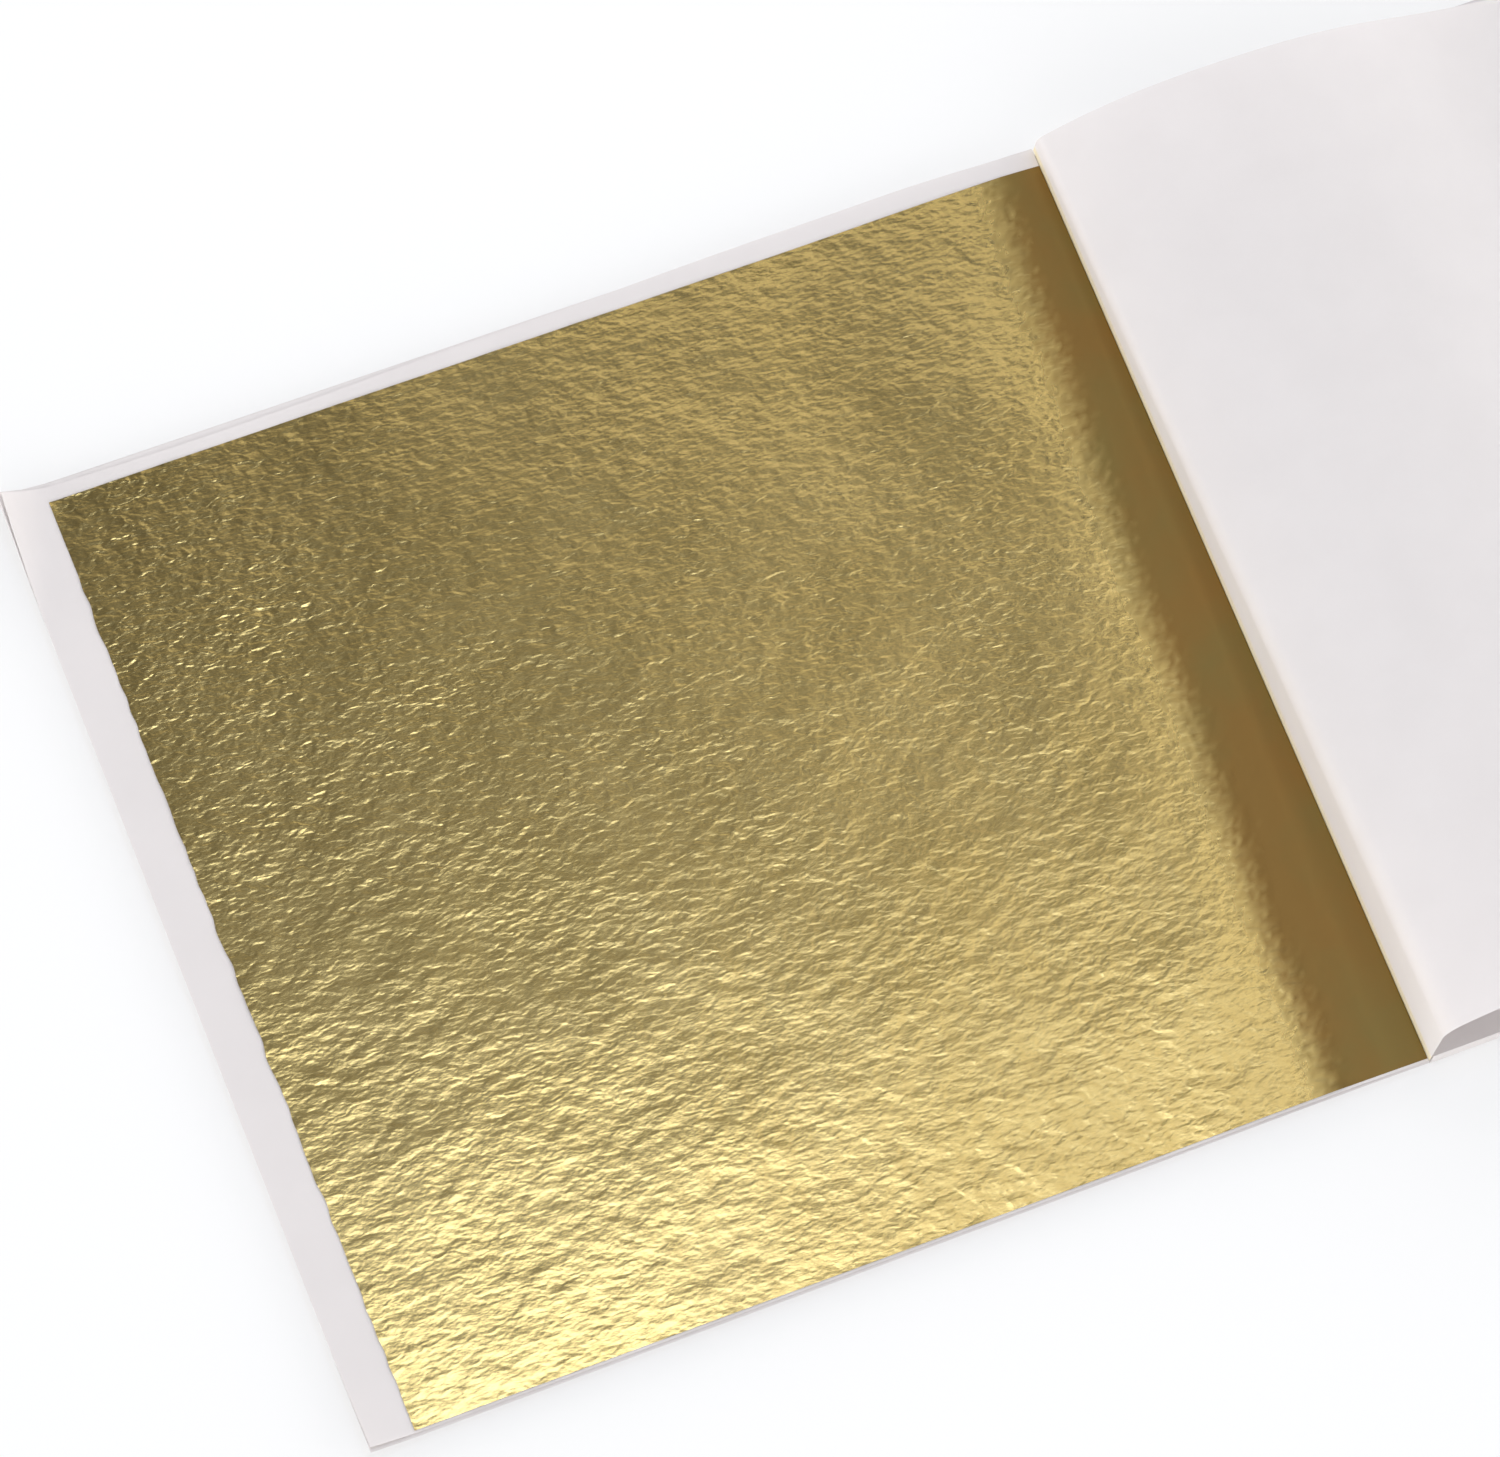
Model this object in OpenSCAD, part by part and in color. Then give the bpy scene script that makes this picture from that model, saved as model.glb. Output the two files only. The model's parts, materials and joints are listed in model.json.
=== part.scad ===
// Gold leaf booklet: loose leaves of gold lie between tissue pages that are stapled along one margin.
// The front cover and the first tissue are turned back, so the first leaf lies open.
// X runs from the fore edge, past the crease, to the turned sheets. Y runs along the crease from tail
// to head. Z is up. The origin is on the table, under the middle of the crease.

/* [Gold leaves] */
// Width of a gold leaf, across the booklet
leaf_w = 85; // [60:0.5:110]
// Height of a gold leaf, along the crease
leaf_h = 80; // [60:0.5:110]
// Thickness that stands in for a gold leaf
leaf_t = 0.01; // [0.005:0.005:0.05]
// Number of gold leaves
leaf_count = 25; // [5:1:27]

/* [Tissue pages] */
// Thickness of a tissue sheet
tissue_t = 0.035; // [0.02:0.005:0.1]
// Tissue that shows past the gold at the fore edge
fore_margin = 3.8; // [1:0.1:12]
// Tissue that shows past the gold at the head
head_margin = 1.4; // [0.2:0.1:12]
// Tissue that shows past the gold at the tail
tail_margin = 0.2; // [0.1:0.1:12]

/* [Covers] */
// Thickness of the cover card
cover_t = 0.35; // [0.35:0.05:1]

/* [Binding] */
// Width of the stapled margin beyond the crease
margin_w = 6; // [4:0.5:12]
// Gap between the crease line and each sheet's edge on either side of it
crease_gap = 0.15; // [0.1:0.05:0.3]
// Space for a page's fold between the stapled margin and the turned cover
fold_gap = 0.1; // [0.05:0.05:0.4]
// Diameter of the staple wire
staple_wire = 0.3; // [0.2:0.02:0.3]
// Distance between the two legs of a staple
staple_span = 12; // [6:0.5:20]
// Length of the bent-over end of a staple's leg
staple_clinch = 4; // [2:0.5:5]
// Distance between the two staples
staple_pitch = 40; // [30:1:50]
// Clearance around the staple wire in its holes and grooves
wire_clearance = 0.02; // [0.01:0.01:0.04]

/* [Turned tissue] */
// Height of its bend over the open leaf
bend_h = 4.6; // [2:0.1:6]
// Radius of that bend
bend_r = 1.6; // [0.5:0.1:1.8]
// Slope of the arch just past the bend, in degrees
arch_slope = 32; // [10:1:50]
// Distance of the arch's peak from the crease
peak_x = 13; // [10:0.5:24]
// Height of the arch's peak over the open leaf
peak_h = 8.2; // [7:0.1:12]
// Distance from the crease at which the arch meets the cover
arch_end_x = 46; // [30:1:55]

/* [Hidden] */
tissue_count = leaf_count + 1;
sheet_pitch = tissue_t + leaf_t;
page_w = crease_gap + leaf_w + fore_margin;
page_tail = -(tail_margin + leaf_h + head_margin) / 2;
page_head = -page_tail;
leaf_tail = page_tail + tail_margin;
margin_top = tissue_bottom(1) + sheet_pitch + cover_t;
cover_rest = margin_top + fold_gap;
bend_x = margin_w + 2 * crease_gap;
cover_droop = asin(cover_rest / (page_w - bend_x));
cover_edge_x = bend_x + (page_w - bend_x) * cos(cover_droop);
staple_x = margin_w / 2;
wire_groove = staple_wire + 2 * wire_clearance;
arch_steps = 16;
// Shares of the way to the peak and from it over which the arch keeps its direction
rise_ease = 1 / 3;
fall_ease = 0.5;
// Air under the turned tissue where it lies on the cover
lying_gap = 0.05;
wire_facets = 32;

paper = [0.91, 0.895, 0.9];
card = [0.88, 0.865, 0.86];
gold = [0.68, 0.58, 0.33];
steel = [0.72, 0.73, 0.75];

function two_digits(k) = k < 10 ? str("0", k) : str(k);
function tissue_name(k) = str("tissue_", two_digits(k));
function leaf_name(k) = str("leaf_", two_digits(k));

// Underside of tissue k and of leaf k, with number 1 on top of the block
function tissue_bottom(k) = cover_t + (tissue_count - k) * sheet_pitch;
function leaf_bottom(k) = tissue_bottom(k + 1) + tissue_t;

// A sheet between two x positions, from the tail to the head of the pages
module sheet(x_from, x_to, z, thickness) {
    translate([x_from, page_tail, z])
        cube([x_to - x_from, page_head - page_tail, thickness]);
}

// An outline drawn in X and Z, carried along the crease
module along_crease(outline) {
    translate([0, page_head, 0])
        rotate([90, 0, 0])
            linear_extrude(height = page_head - page_tail)
                polygon(outline);
}

// Places its children at each leg of each staple
module at_legs() {
    for (staple_y = [-1, 1] * staple_pitch / 2, leg = [-1, 1])
        translate([staple_x, staple_y + leg * staple_span / 2, 0])
            children();
}

module leg_holes() {
    at_legs()
        translate([0, 0, -cover_t])
            cylinder(d = wire_groove, h = margin_top + 2 * cover_t, $fn = wire_facets);
}

// Grooves that hold the bent-over wire flush in a cover: z is the groove's floor or its ceiling
module wire_grooves(length, z) {
    for (staple_y = [-1, 1] * staple_pitch / 2)
        translate([staple_x - wire_groove / 2, staple_y - length / 2, z])
            cube([wire_groove, length, cover_t]);
}

module back_cover() {
    color(card)
        difference() {
            sheet(-page_w, margin_w, 0, cover_t);
            leg_holes();
            wire_grooves(staple_span + wire_groove, staple_wire + wire_clearance - cover_t);
        }
}

// The stapled strips of the tissues and of the front cover, which stay put when their pages turn
module bound_margin() {
    color(paper)
        for (k = [1:tissue_count])
            difference() {
                sheet(crease_gap, margin_w, tissue_bottom(k), tissue_t);
                leg_holes();
            }
    color(card)
        difference() {
            sheet(crease_gap, margin_w, margin_top - cover_t, cover_t);
            leg_holes();
            wire_grooves(staple_span + wire_groove, margin_top - staple_wire - wire_clearance);
        }
}

// A straight length of wire along Y with round ends, centred on the origin
module wire(length) {
    rotate([90, 0, 0])
        cylinder(d = staple_wire, h = length, center = true, $fn = wire_facets);
    for (end = [-1, 1] * length / 2)
        translate([0, end, 0])
            sphere(d = staple_wire, $fn = wire_facets);
}

module staple(staple_y) {
    crown_z = margin_top - staple_wire / 2;
    clinch_z = staple_wire / 2;
    color(steel)
        translate([staple_x, staple_y, 0]) {
            translate([0, 0, crown_z])
                wire(staple_span);
            for (leg = [-1, 1]) {
                translate([0, leg * staple_span / 2, clinch_z])
                    cylinder(d = staple_wire, h = crown_z - clinch_z, $fn = wire_facets);
                translate([0, leg * (staple_span - staple_clinch) / 2, clinch_z])
                    wire(staple_clinch);
            }
        }
}

module staple_head() {
    staple(staple_pitch / 2);
}

module staple_tail() {
    staple(-staple_pitch / 2);
}

// The cover is folded back over the margin, lies flat on it and slopes down to the table
module front_cover() {
    lift_x = cover_t * sin(cover_droop);
    lift_z = cover_t * cos(cover_droop);
    color(card)
        along_crease([
            [crease_gap, cover_rest],
            [bend_x, cover_rest],
            [cover_edge_x, 0],
            [cover_edge_x + lift_x, lift_z],
            [bend_x + cover_t * tan(cover_droop / 2), cover_rest + cover_t],
            [crease_gap, cover_rest + cover_t]
        ]);
}

// Height of the turned sheet where it lies on the sloping cover
function lying_z(x) = cover_rest + cover_t + lying_gap - (x - bend_x) * tan(cover_droop);

function curve(a, b, c, d, t) =
    pow(1 - t, 3) * a + 3 * t * pow(1 - t, 2) * b + 3 * t * t * (1 - t) * c + pow(t, 3) * d;

function path_length(points) =
    [for (i = [1:len(points) - 1]) norm(points[i] - points[i - 1])] * [for (i = [1:len(points) - 1]) 1];

// Unit vector square to the path at point i, on its left
function side_of(points, i) =
    let (
        before = points[max(i - 1, 0)],
        after = points[min(i + 1, len(points) - 1)],
        run = after - before
    )
    [-run[1], run[0]] / norm(run);

// The turned tissue in X and Z: up at the crease, over a bend, along an arch, down onto the cover
function arch_path() =
    let (
        leaf_top = leaf_bottom(1) + leaf_t,
        start = [-crease_gap / 2, tissue_bottom(1) + tissue_t],
        bend_z = leaf_top + bend_h - bend_r * cos(arch_slope),
        bend = [
            for (i = [0:arch_steps])
                let (turn = (90 - arch_slope) * i / arch_steps)
                [start[0] + bend_r * (1 - cos(turn)), bend_z + bend_r * sin(turn)]
        ],
        from = bend[arch_steps],
        peak = [peak_x, leaf_top + peak_h],
        rise = (peak[0] - from[0]) * rise_ease,
        landing = [arch_end_x, lying_z(arch_end_x)],
        fall = (landing[0] - peak[0]) * fall_ease,
        up_bends = [from + rise * [1, tan(arch_slope)], peak - [rise, 0]],
        down_bends = [peak + [fall, 0], landing + fall * [-1, tan(cover_droop)]],
        up = [for (i = [1:arch_steps]) curve(from, up_bends[0], up_bends[1], peak, i / arch_steps)],
        down = [for (i = [1:arch_steps]) curve(peak, down_bends[0], down_bends[1], landing, i / arch_steps)],
        arch = concat([start], bend, up, down),
        left_over = page_w - path_length(arch),
        edge = landing + left_over * [cos(cover_droop), -sin(cover_droop)]
    )
    concat(arch, [edge]);

module turned_tissue() {
    path = arch_path();
    far_side = [for (i = [len(path) - 1:-1:0]) path[i] + tissue_t * side_of(path, i)];
    color(paper)
        along_crease(concat(path, far_side));
}

module tissue(k) {
    if (k == 1)
        turned_tissue();
    else
        color(paper)
            sheet(-page_w, -crease_gap, tissue_bottom(k), tissue_t);
}

module leaf(k) {
    color(gold)
        translate([-crease_gap - leaf_w, leaf_tail, leaf_bottom(k)])
            cube([leaf_w, leaf_h, leaf_t]);
}

back_cover();
bound_margin();
staple_head();
staple_tail();
front_cover();
for (k = [1:tissue_count])
    tissue(k);
for (k = [1:leaf_count])
    leaf(k);
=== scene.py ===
import json
import math

import bmesh
import bpy
import numpy as np
from mathutils import Matrix, Vector


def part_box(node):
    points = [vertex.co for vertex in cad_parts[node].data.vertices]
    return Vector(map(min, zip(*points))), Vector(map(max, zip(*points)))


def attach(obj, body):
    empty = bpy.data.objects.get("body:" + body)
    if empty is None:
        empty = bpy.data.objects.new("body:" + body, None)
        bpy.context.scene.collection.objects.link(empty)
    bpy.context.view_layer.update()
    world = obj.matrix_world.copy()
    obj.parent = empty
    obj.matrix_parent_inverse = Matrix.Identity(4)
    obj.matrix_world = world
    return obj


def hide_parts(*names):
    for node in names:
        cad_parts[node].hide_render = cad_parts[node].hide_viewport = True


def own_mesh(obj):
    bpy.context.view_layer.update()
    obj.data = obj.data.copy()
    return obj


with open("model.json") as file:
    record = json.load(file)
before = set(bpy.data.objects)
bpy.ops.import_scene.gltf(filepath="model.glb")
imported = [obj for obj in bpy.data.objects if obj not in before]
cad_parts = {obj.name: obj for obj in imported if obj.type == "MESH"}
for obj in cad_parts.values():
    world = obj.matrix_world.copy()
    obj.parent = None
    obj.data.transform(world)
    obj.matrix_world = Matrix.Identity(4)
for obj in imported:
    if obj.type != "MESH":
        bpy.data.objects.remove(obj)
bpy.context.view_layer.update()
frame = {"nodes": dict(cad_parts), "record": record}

mm = 0.001

# Back cover
# A sheet of pale uncoated card under the whole block. It runs on under the stapled margin, where the
# wire ends lie flush in its underside. It is its own solid, cut a little short at the tail and the
# fore edge, where the pages hide it.

CARD_COLOUR = (0.80, 0.75, 0.745, 1)
PAPER_COLOUR = (0.82, 0.77, 0.755, 1)
COVER_CUT = 0.45 * mm


def group_socket(group, name, kind, in_out, value=None):
    """One named socket on a node group's interface, with its starting value."""
    socket = group.interface.new_socket(name=name, in_out=in_out, socket_type=kind)
    if value is not None:
        socket.default_value = value
    return socket


def paper_grain():
    """Formation of paper: soft clouds where the pulp lies thicker, long fibres and a fine tooth.
    It puts out the sheet's colour, and a height for its bump, both read from object coordinates."""
    group = bpy.data.node_groups.new("paper grain", "ShaderNodeTree")
    group_socket(group, "Paper", "NodeSocketColor", "INPUT", PAPER_COLOUR)
    group_socket(group, "Cloud size", "NodeSocketFloat", "INPUT", 200.0)
    group_socket(group, "Cloud depth", "NodeSocketFloat", "INPUT", 0.03)
    group_socket(group, "Fibre depth", "NodeSocketFloat", "INPUT", 0.3)
    group_socket(group, "Colour", "NodeSocketColor", "OUTPUT")
    group_socket(group, "Height", "NodeSocketFloat", "OUTPUT")
    nodes, links = group.nodes, group.links
    given = nodes.new("NodeGroupInput")
    result = nodes.new("NodeGroupOutput")
    place = nodes.new("ShaderNodeTexCoord")

    clouds = nodes.new("ShaderNodeTexNoise")
    clouds.inputs["Detail"].default_value = 4
    links.new(place.outputs["Object"], clouds.inputs["Vector"])
    links.new(given.outputs["Cloud size"], clouds.inputs["Scale"])
    clear = nodes.new("ShaderNodeMapRange")
    clear.inputs["From Min"].default_value = 0.35
    clear.inputs["From Max"].default_value = 0.65
    links.new(clouds.outputs["Fac"], clear.inputs["Value"])
    depth = nodes.new("ShaderNodeMath")
    depth.operation = "MULTIPLY"
    links.new(clear.outputs["Result"], depth.inputs[0])
    links.new(given.outputs["Cloud depth"], depth.inputs[1])
    shade = nodes.new("ShaderNodeMath")
    shade.operation = "SUBTRACT"
    shade.inputs[0].default_value = 1
    links.new(depth.outputs[0], shade.inputs[1])
    tint = nodes.new("ShaderNodeVectorMath")
    tint.operation = "SCALE"
    links.new(given.outputs["Paper"], tint.inputs[0])
    links.new(shade.outputs[0], tint.inputs["Scale"])
    links.new(tint.outputs[0], result.inputs["Colour"])

    run = nodes.new("ShaderNodeMapping")
    run.inputs["Rotation"].default_value = (0, 0, math.radians(23))
    run.inputs["Scale"].default_value = (700, 3200, 3200)
    links.new(place.outputs["Object"], run.inputs["Vector"])
    fibres = nodes.new("ShaderNodeTexNoise")
    fibres.inputs["Scale"].default_value = 1
    fibres.inputs["Detail"].default_value = 5
    fibres.inputs["Distortion"].default_value = 0.6
    links.new(run.outputs["Vector"], fibres.inputs["Vector"])
    height = nodes.new("ShaderNodeMath")
    height.operation = "MULTIPLY"
    links.new(fibres.outputs["Fac"], height.inputs[0])
    links.new(given.outputs["Fibre depth"], height.inputs[1])
    links.new(height.outputs[0], result.inputs["Height"])
    return group


GRAIN = paper_grain()


def paper_material(name, colour, roughness, glow, cloud_size, cloud_depth, fibre_depth, painted_tint=None):
    """A matt paper surface with the grain group's colour and bump. The glow is the share of light that
    goes into the sheet, and in a thin one comes out at its other face. The last argument is a colour of
    painted light, a painted reflection, that the mesh's own attribute of the same name mixes in."""
    material = bpy.data.materials.new(name)
    material.use_nodes = True
    nodes, links = material.node_tree.nodes, material.node_tree.links
    surface = nodes["Principled BSDF"]
    surface.inputs["Roughness"].default_value = roughness
    surface.inputs["Specular IOR Level"].default_value = 0.3
    surface.inputs["Subsurface Weight"].default_value = glow
    surface.inputs["Subsurface Radius"].default_value = (1, 1, 1)
    surface.inputs["Subsurface Scale"].default_value = 0.1 * mm
    grain = nodes.new("ShaderNodeGroup")
    grain.node_tree = GRAIN
    grain.inputs["Paper"].default_value = colour
    grain.inputs["Cloud size"].default_value = cloud_size
    grain.inputs["Cloud depth"].default_value = cloud_depth
    grain.inputs["Fibre depth"].default_value = fibre_depth
    bump = nodes.new("ShaderNodeBump")
    bump.inputs["Strength"].default_value = 0.25
    bump.inputs["Distance"].default_value = 0.02 * mm
    links.new(grain.outputs["Height"], bump.inputs["Height"])
    links.new(bump.outputs["Normal"], surface.inputs["Normal"])
    links.new(grain.outputs["Colour"], surface.inputs["Base Color"])
    if painted_tint is not None:
        share = nodes.new("ShaderNodeAttribute")
        share.attribute_name = "painted_tint"
        tint_mix = nodes.new("ShaderNodeMix")
        tint_mix.data_type = "RGBA"
        tint_mix.inputs["B"].default_value = painted_tint
        links.new(share.outputs["Fac"], tint_mix.inputs["Factor"])
        links.new(grain.outputs["Colour"], tint_mix.inputs["A"])
        links.new(tint_mix.outputs["Result"], surface.inputs["Base Color"])
    return material


card = paper_material(
    "uncoated card", CARD_COLOUR, roughness=0.85, glow=0, cloud_size=260, cloud_depth=0.05, fibre_depth=1.0
)


def trimmed_card(name, node, cut):
    """A copy of a node's solid with its doubled corners merged. Whatever lies on its lowest x or on its
    lowest y moves inwards by the cut, and its own coordinates stay elsewhere."""
    same_corner = 0.001 * mm
    edge_band = 0.01 * mm
    solid = frame["nodes"][node]
    low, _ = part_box(node)
    mesh = solid.data.copy()
    mesh.transform(solid.matrix_world)
    shape = bmesh.new()
    shape.from_mesh(mesh)
    bmesh.ops.remove_doubles(shape, verts=shape.verts, dist=same_corner)
    shape.to_mesh(mesh)
    shape.free()
    points = np.empty(len(mesh.vertices) * 3)
    mesh.vertices.foreach_get("co", points)
    points = points.reshape(-1, 3)
    points[points[:, 0] < low.x + edge_band, 0] += cut
    points[points[:, 1] < low.y + edge_band, 1] += cut
    mesh.vertices.foreach_set("co", points.ravel())
    mesh.update()
    mesh.materials.clear()
    piece = bpy.data.objects.new(name, mesh)
    bpy.context.scene.collection.objects.link(piece)
    return piece


def dress(piece, node, body, material):
    """Gives a piece its material and lets it stand for one node on one body."""
    piece.data.materials.append(material)
    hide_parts(node)
    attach(piece, body)


dress(trimmed_card("card_back", "back_cover", COVER_CUT), "back_cover", "base", card)

# Bound margin
# The strips of the tissues and of the front cover beyond the crease. They stay in place when their
# pages turn, held by the two staples, and are hidden under the turned sheets.

# The two tissue materials have the same paper, and differ in their glow and stain.
TISSUE_FINISH = {"roughness": 0.7, "cloud_size": 160, "cloud_depth": 0.025, "fibre_depth": 0.6}


def coat(node, material):
    """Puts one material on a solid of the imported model."""
    slots = frame["nodes"][node].data.materials
    slots.clear()
    slots.append(material)


tissue = paper_material("thin tissue", PAPER_COLOUR, glow=0.2, **TISSUE_FINISH)
coat("bound_margin", tissue)

# Staples
# Two lengths of drawn steel wire, pushed through the margin and bent over, one towards the head and
# one towards the tail.

WIRE_COLOUR = (0.55, 0.56, 0.58, 1)


def wire_material():
    """Drawn wire: bright steel with fine lines along it from the die, and small dull patches."""
    material = bpy.data.materials.new("drawn wire")
    material.use_nodes = True
    nodes, links = material.node_tree.nodes, material.node_tree.links
    surface = nodes["Principled BSDF"]
    surface.inputs["Base Color"].default_value = WIRE_COLOUR
    surface.inputs["Metallic"].default_value = 1
    place = nodes.new("ShaderNodeTexCoord")
    run = nodes.new("ShaderNodeMapping")
    run.inputs["Scale"].default_value = (30000, 900, 30000)
    links.new(place.outputs["Object"], run.inputs["Vector"])
    lines = nodes.new("ShaderNodeTexNoise")
    lines.inputs["Scale"].default_value = 1
    lines.inputs["Detail"].default_value = 3
    links.new(run.outputs["Vector"], lines.inputs["Vector"])
    dull = nodes.new("ShaderNodeMapRange")
    dull.inputs["To Min"].default_value = 0.22
    dull.inputs["To Max"].default_value = 0.5
    links.new(lines.outputs["Fac"], dull.inputs["Value"])
    links.new(dull.outputs["Result"], surface.inputs["Roughness"])
    return material


wire = wire_material()
coat("staple_head", wire)
coat("staple_tail", wire)

# Closed pages and leaves
# The sheets of the block under the open page. Hands and cutters leave them a little out of line, so
# each is a thin sheet of its own, turned and shifted by about a tenth of a millimetre.

PAGE_STEP = 2.0 * mm
PAGE_STRAY = 0.12 * mm
PAGE_TWIST = math.radians(0.06)
# Each sheet stops short of the one above it at the fore edge and the tail, by these shares of its
# depth under the open leaf.
FORE_LEAN = 0.24
BLOCK_LEAN = 0.32
# The closed leaves stop this much further from the tail than the open one.
TAIL_INSET = 0.6 * mm
PAGE_COUNT = sum(name.startswith("tissue_") for name in frame["nodes"])
stray = np.random.default_rng(11)
leaf_low, leaf_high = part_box("leaf_01")

# The block's sheets rise from the crease into a low ridge, which ends the gutter. It stands further
# from the crease at the tail than at the head, and each sheet down the block has less of it.
RIDGE_AT_HEAD = 4.0 * mm
RIDGE_AT_TAIL = 8.5 * mm
RIDGE_HEIGHT = 0.38 * mm
RIDGE_TOP = 1 * mm
RIDGE_FALL = 20 * mm
RIDGE_KEPT = 0.8
# How much rounder than a straight slope the rise to the ridge is
RIDGE_ROUNDING = 0.35
# The ridge's distance grows with this power of the way from head to tail.
RIDGE_SPREAD = 0.8
# The ridge wanders by this much, in two waves. Each has its share, its length over two pi and its start.
RIDGE_WANDER = 0.25 * mm
RIDGE_WAVES = ((0.5, 5.1 * mm, 0), (0.35, 2.3 * mm, 1))


def smooth_step(value, start, end):
    """0 before the start, 1 after the end, and an even S between them."""
    share = np.clip((value - start) / (end - start), 0, 1)
    return share * share * (3 - 2 * share)


def ridge_place(y):
    """Distance of the ridge from the crease: it grows from head to tail with a power of the way, and
    a sum of sines makes it gently uneven."""
    share = np.clip((leaf_high.y - y) / (leaf_high.y - leaf_low.y), 0, 1)
    uneven = sum(part * np.sin(y / length + start) for part, length, start in RIDGE_WAVES)
    growth = (RIDGE_AT_TAIL - RIDGE_AT_HEAD) * share ** RIDGE_SPREAD
    return RIDGE_AT_HEAD + growth + RIDGE_WANDER * uneven


def gutter_form(x, y):
    """Height of the open page's ridge: nearly straight up from the crease, round on top, and a long
    fall towards the fore edge."""
    to_crease = np.clip(-x, 0, None)
    ridge = ridge_place(y)
    up = np.clip(to_crease / ridge, 0, 1)
    rise = (1 + RIDGE_ROUNDING) * up - RIDGE_ROUNDING * up ** 4
    fall = 1 - smooth_step(to_crease, ridge + RIDGE_TOP, ridge + RIDGE_FALL)
    return RIDGE_HEIGHT * np.minimum(rise, 1) * fall


def sheet_number(kind, number):
    """A numbered sheet's node name."""
    return f"{kind}_{number:02d}"


def closed_sheet(name, top, thickness):
    """A thin closed sheet on a grid: the top is the given surface, the underside is the top moved by
    the thickness against its normal, and a strip of faces joins the two along the rim.
    top has the shape (rows, columns, 3), with columns to the right and rows away from the viewer."""
    rows, columns, _ = top.shape
    along = np.gradient(top, axis=1)
    away = np.gradient(top, axis=0)
    normal = np.cross(along, away)
    normal /= np.linalg.norm(normal, axis=2, keepdims=True)
    under = top - thickness * normal
    points = np.concatenate([top.reshape(-1, 3), under.reshape(-1, 3)])

    index = np.arange(rows * columns).reshape(rows, columns)
    below = index + rows * columns
    corners = (index[:-1, :-1], index[:-1, 1:], index[1:, 1:], index[1:, :-1])
    upper = np.stack(corners, axis=-1).reshape(-1, 4)
    lower = upper[:, ::-1] + rows * columns
    rim = np.concatenate([index[0, :], index[1:, -1], index[-1, -2::-1], index[-2:0:-1, 0]])
    rim_below = np.concatenate([below[0, :], below[1:, -1], below[-1, -2::-1], below[-2:0:-1, 0]])
    walls = np.stack([rim, rim_below, np.roll(rim_below, -1), np.roll(rim, -1)], axis=-1)
    faces = np.concatenate([upper, lower, walls])

    mesh = bpy.data.meshes.new(name)
    mesh.vertices.add(len(points))
    mesh.vertices.foreach_set("co", points.ravel())
    mesh.loops.add(faces.size)
    mesh.loops.foreach_set("vertex_index", faces.ravel())
    mesh.polygons.add(len(faces))
    mesh.polygons.foreach_set("loop_start", np.arange(len(faces)) * 4)
    smooth = np.ones(len(faces), bool)
    smooth[len(upper) + len(lower):] = False
    mesh.update(calc_edges=True)
    mesh.polygons.foreach_set("use_smooth", smooth)
    mesh.validate()
    on_rim = np.zeros(len(points), bool)
    on_rim[rim] = on_rim[rim_below] = True
    edge_ends = np.empty((len(mesh.edges), 2), np.int32)
    mesh.edges.foreach_get("vertices", edge_ends.ravel())
    same_face = (edge_ends[:, 0] < len(points) // 2) == (edge_ends[:, 1] < len(points) // 2)
    sharp = on_rim[edge_ends].all(axis=1) & same_face
    mesh.attributes.new("sharp_edge", "BOOLEAN", "EDGE").data.foreach_set("value", sharp)
    piece = bpy.data.objects.new(name, mesh)
    bpy.context.scene.collection.objects.link(piece)
    return piece


def grid_between(low, high, step):
    """Two matching arrays of x and y over a box, spaced by about the step."""
    columns = round((high.x - low.x) / step) + 1
    rows = round((high.y - low.y) / step) + 1
    return np.meshgrid(np.linspace(low.x, high.x, columns), np.linspace(low.y, high.y, rows))


def band_noise(shape, step, wavelength, stretch=1.0, turn=0.0, width=0.35, seed=0):
    """Random waves of about one wavelength, with a spread of 1: white noise kept only in a ring of
    its spectrum. The ring is narrowed along one direction, so that the waves are stretched by that
    much, and turned by an angle in radians."""
    rows, columns = shape
    white = np.random.default_rng(seed).standard_normal(shape)
    across = np.fft.fftfreq(columns, step)[None, :]
    away = np.fft.fftfreq(rows, step)[:, None]
    run = (across * math.cos(turn) + away * math.sin(turn)) * stretch
    side = -across * math.sin(turn) + away * math.cos(turn)
    ring = np.hypot(run, side) * wavelength
    waves = np.fft.ifft2(np.fft.fft2(white) * np.exp(-(((ring - 1) / width) ** 2))).real
    return waves / waves.std()


GOLD_COLOUR = (0.505, 0.366, 0.126, 1)
GOLD_PALE = (0.550, 0.410, 0.158, 1)
# The smooth band's colours are painted dark reflection: darker and browner than the gold, in blotches.
BAND_PAINTED_BROWN = (0.270, 0.160, 0.048, 1)
BAND_PAINTED_OLIVE = (0.240, 0.170, 0.055, 1)
# The foil's wrinkles lie across the booklet.
WRINKLE_TURN = math.radians(-3)


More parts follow.
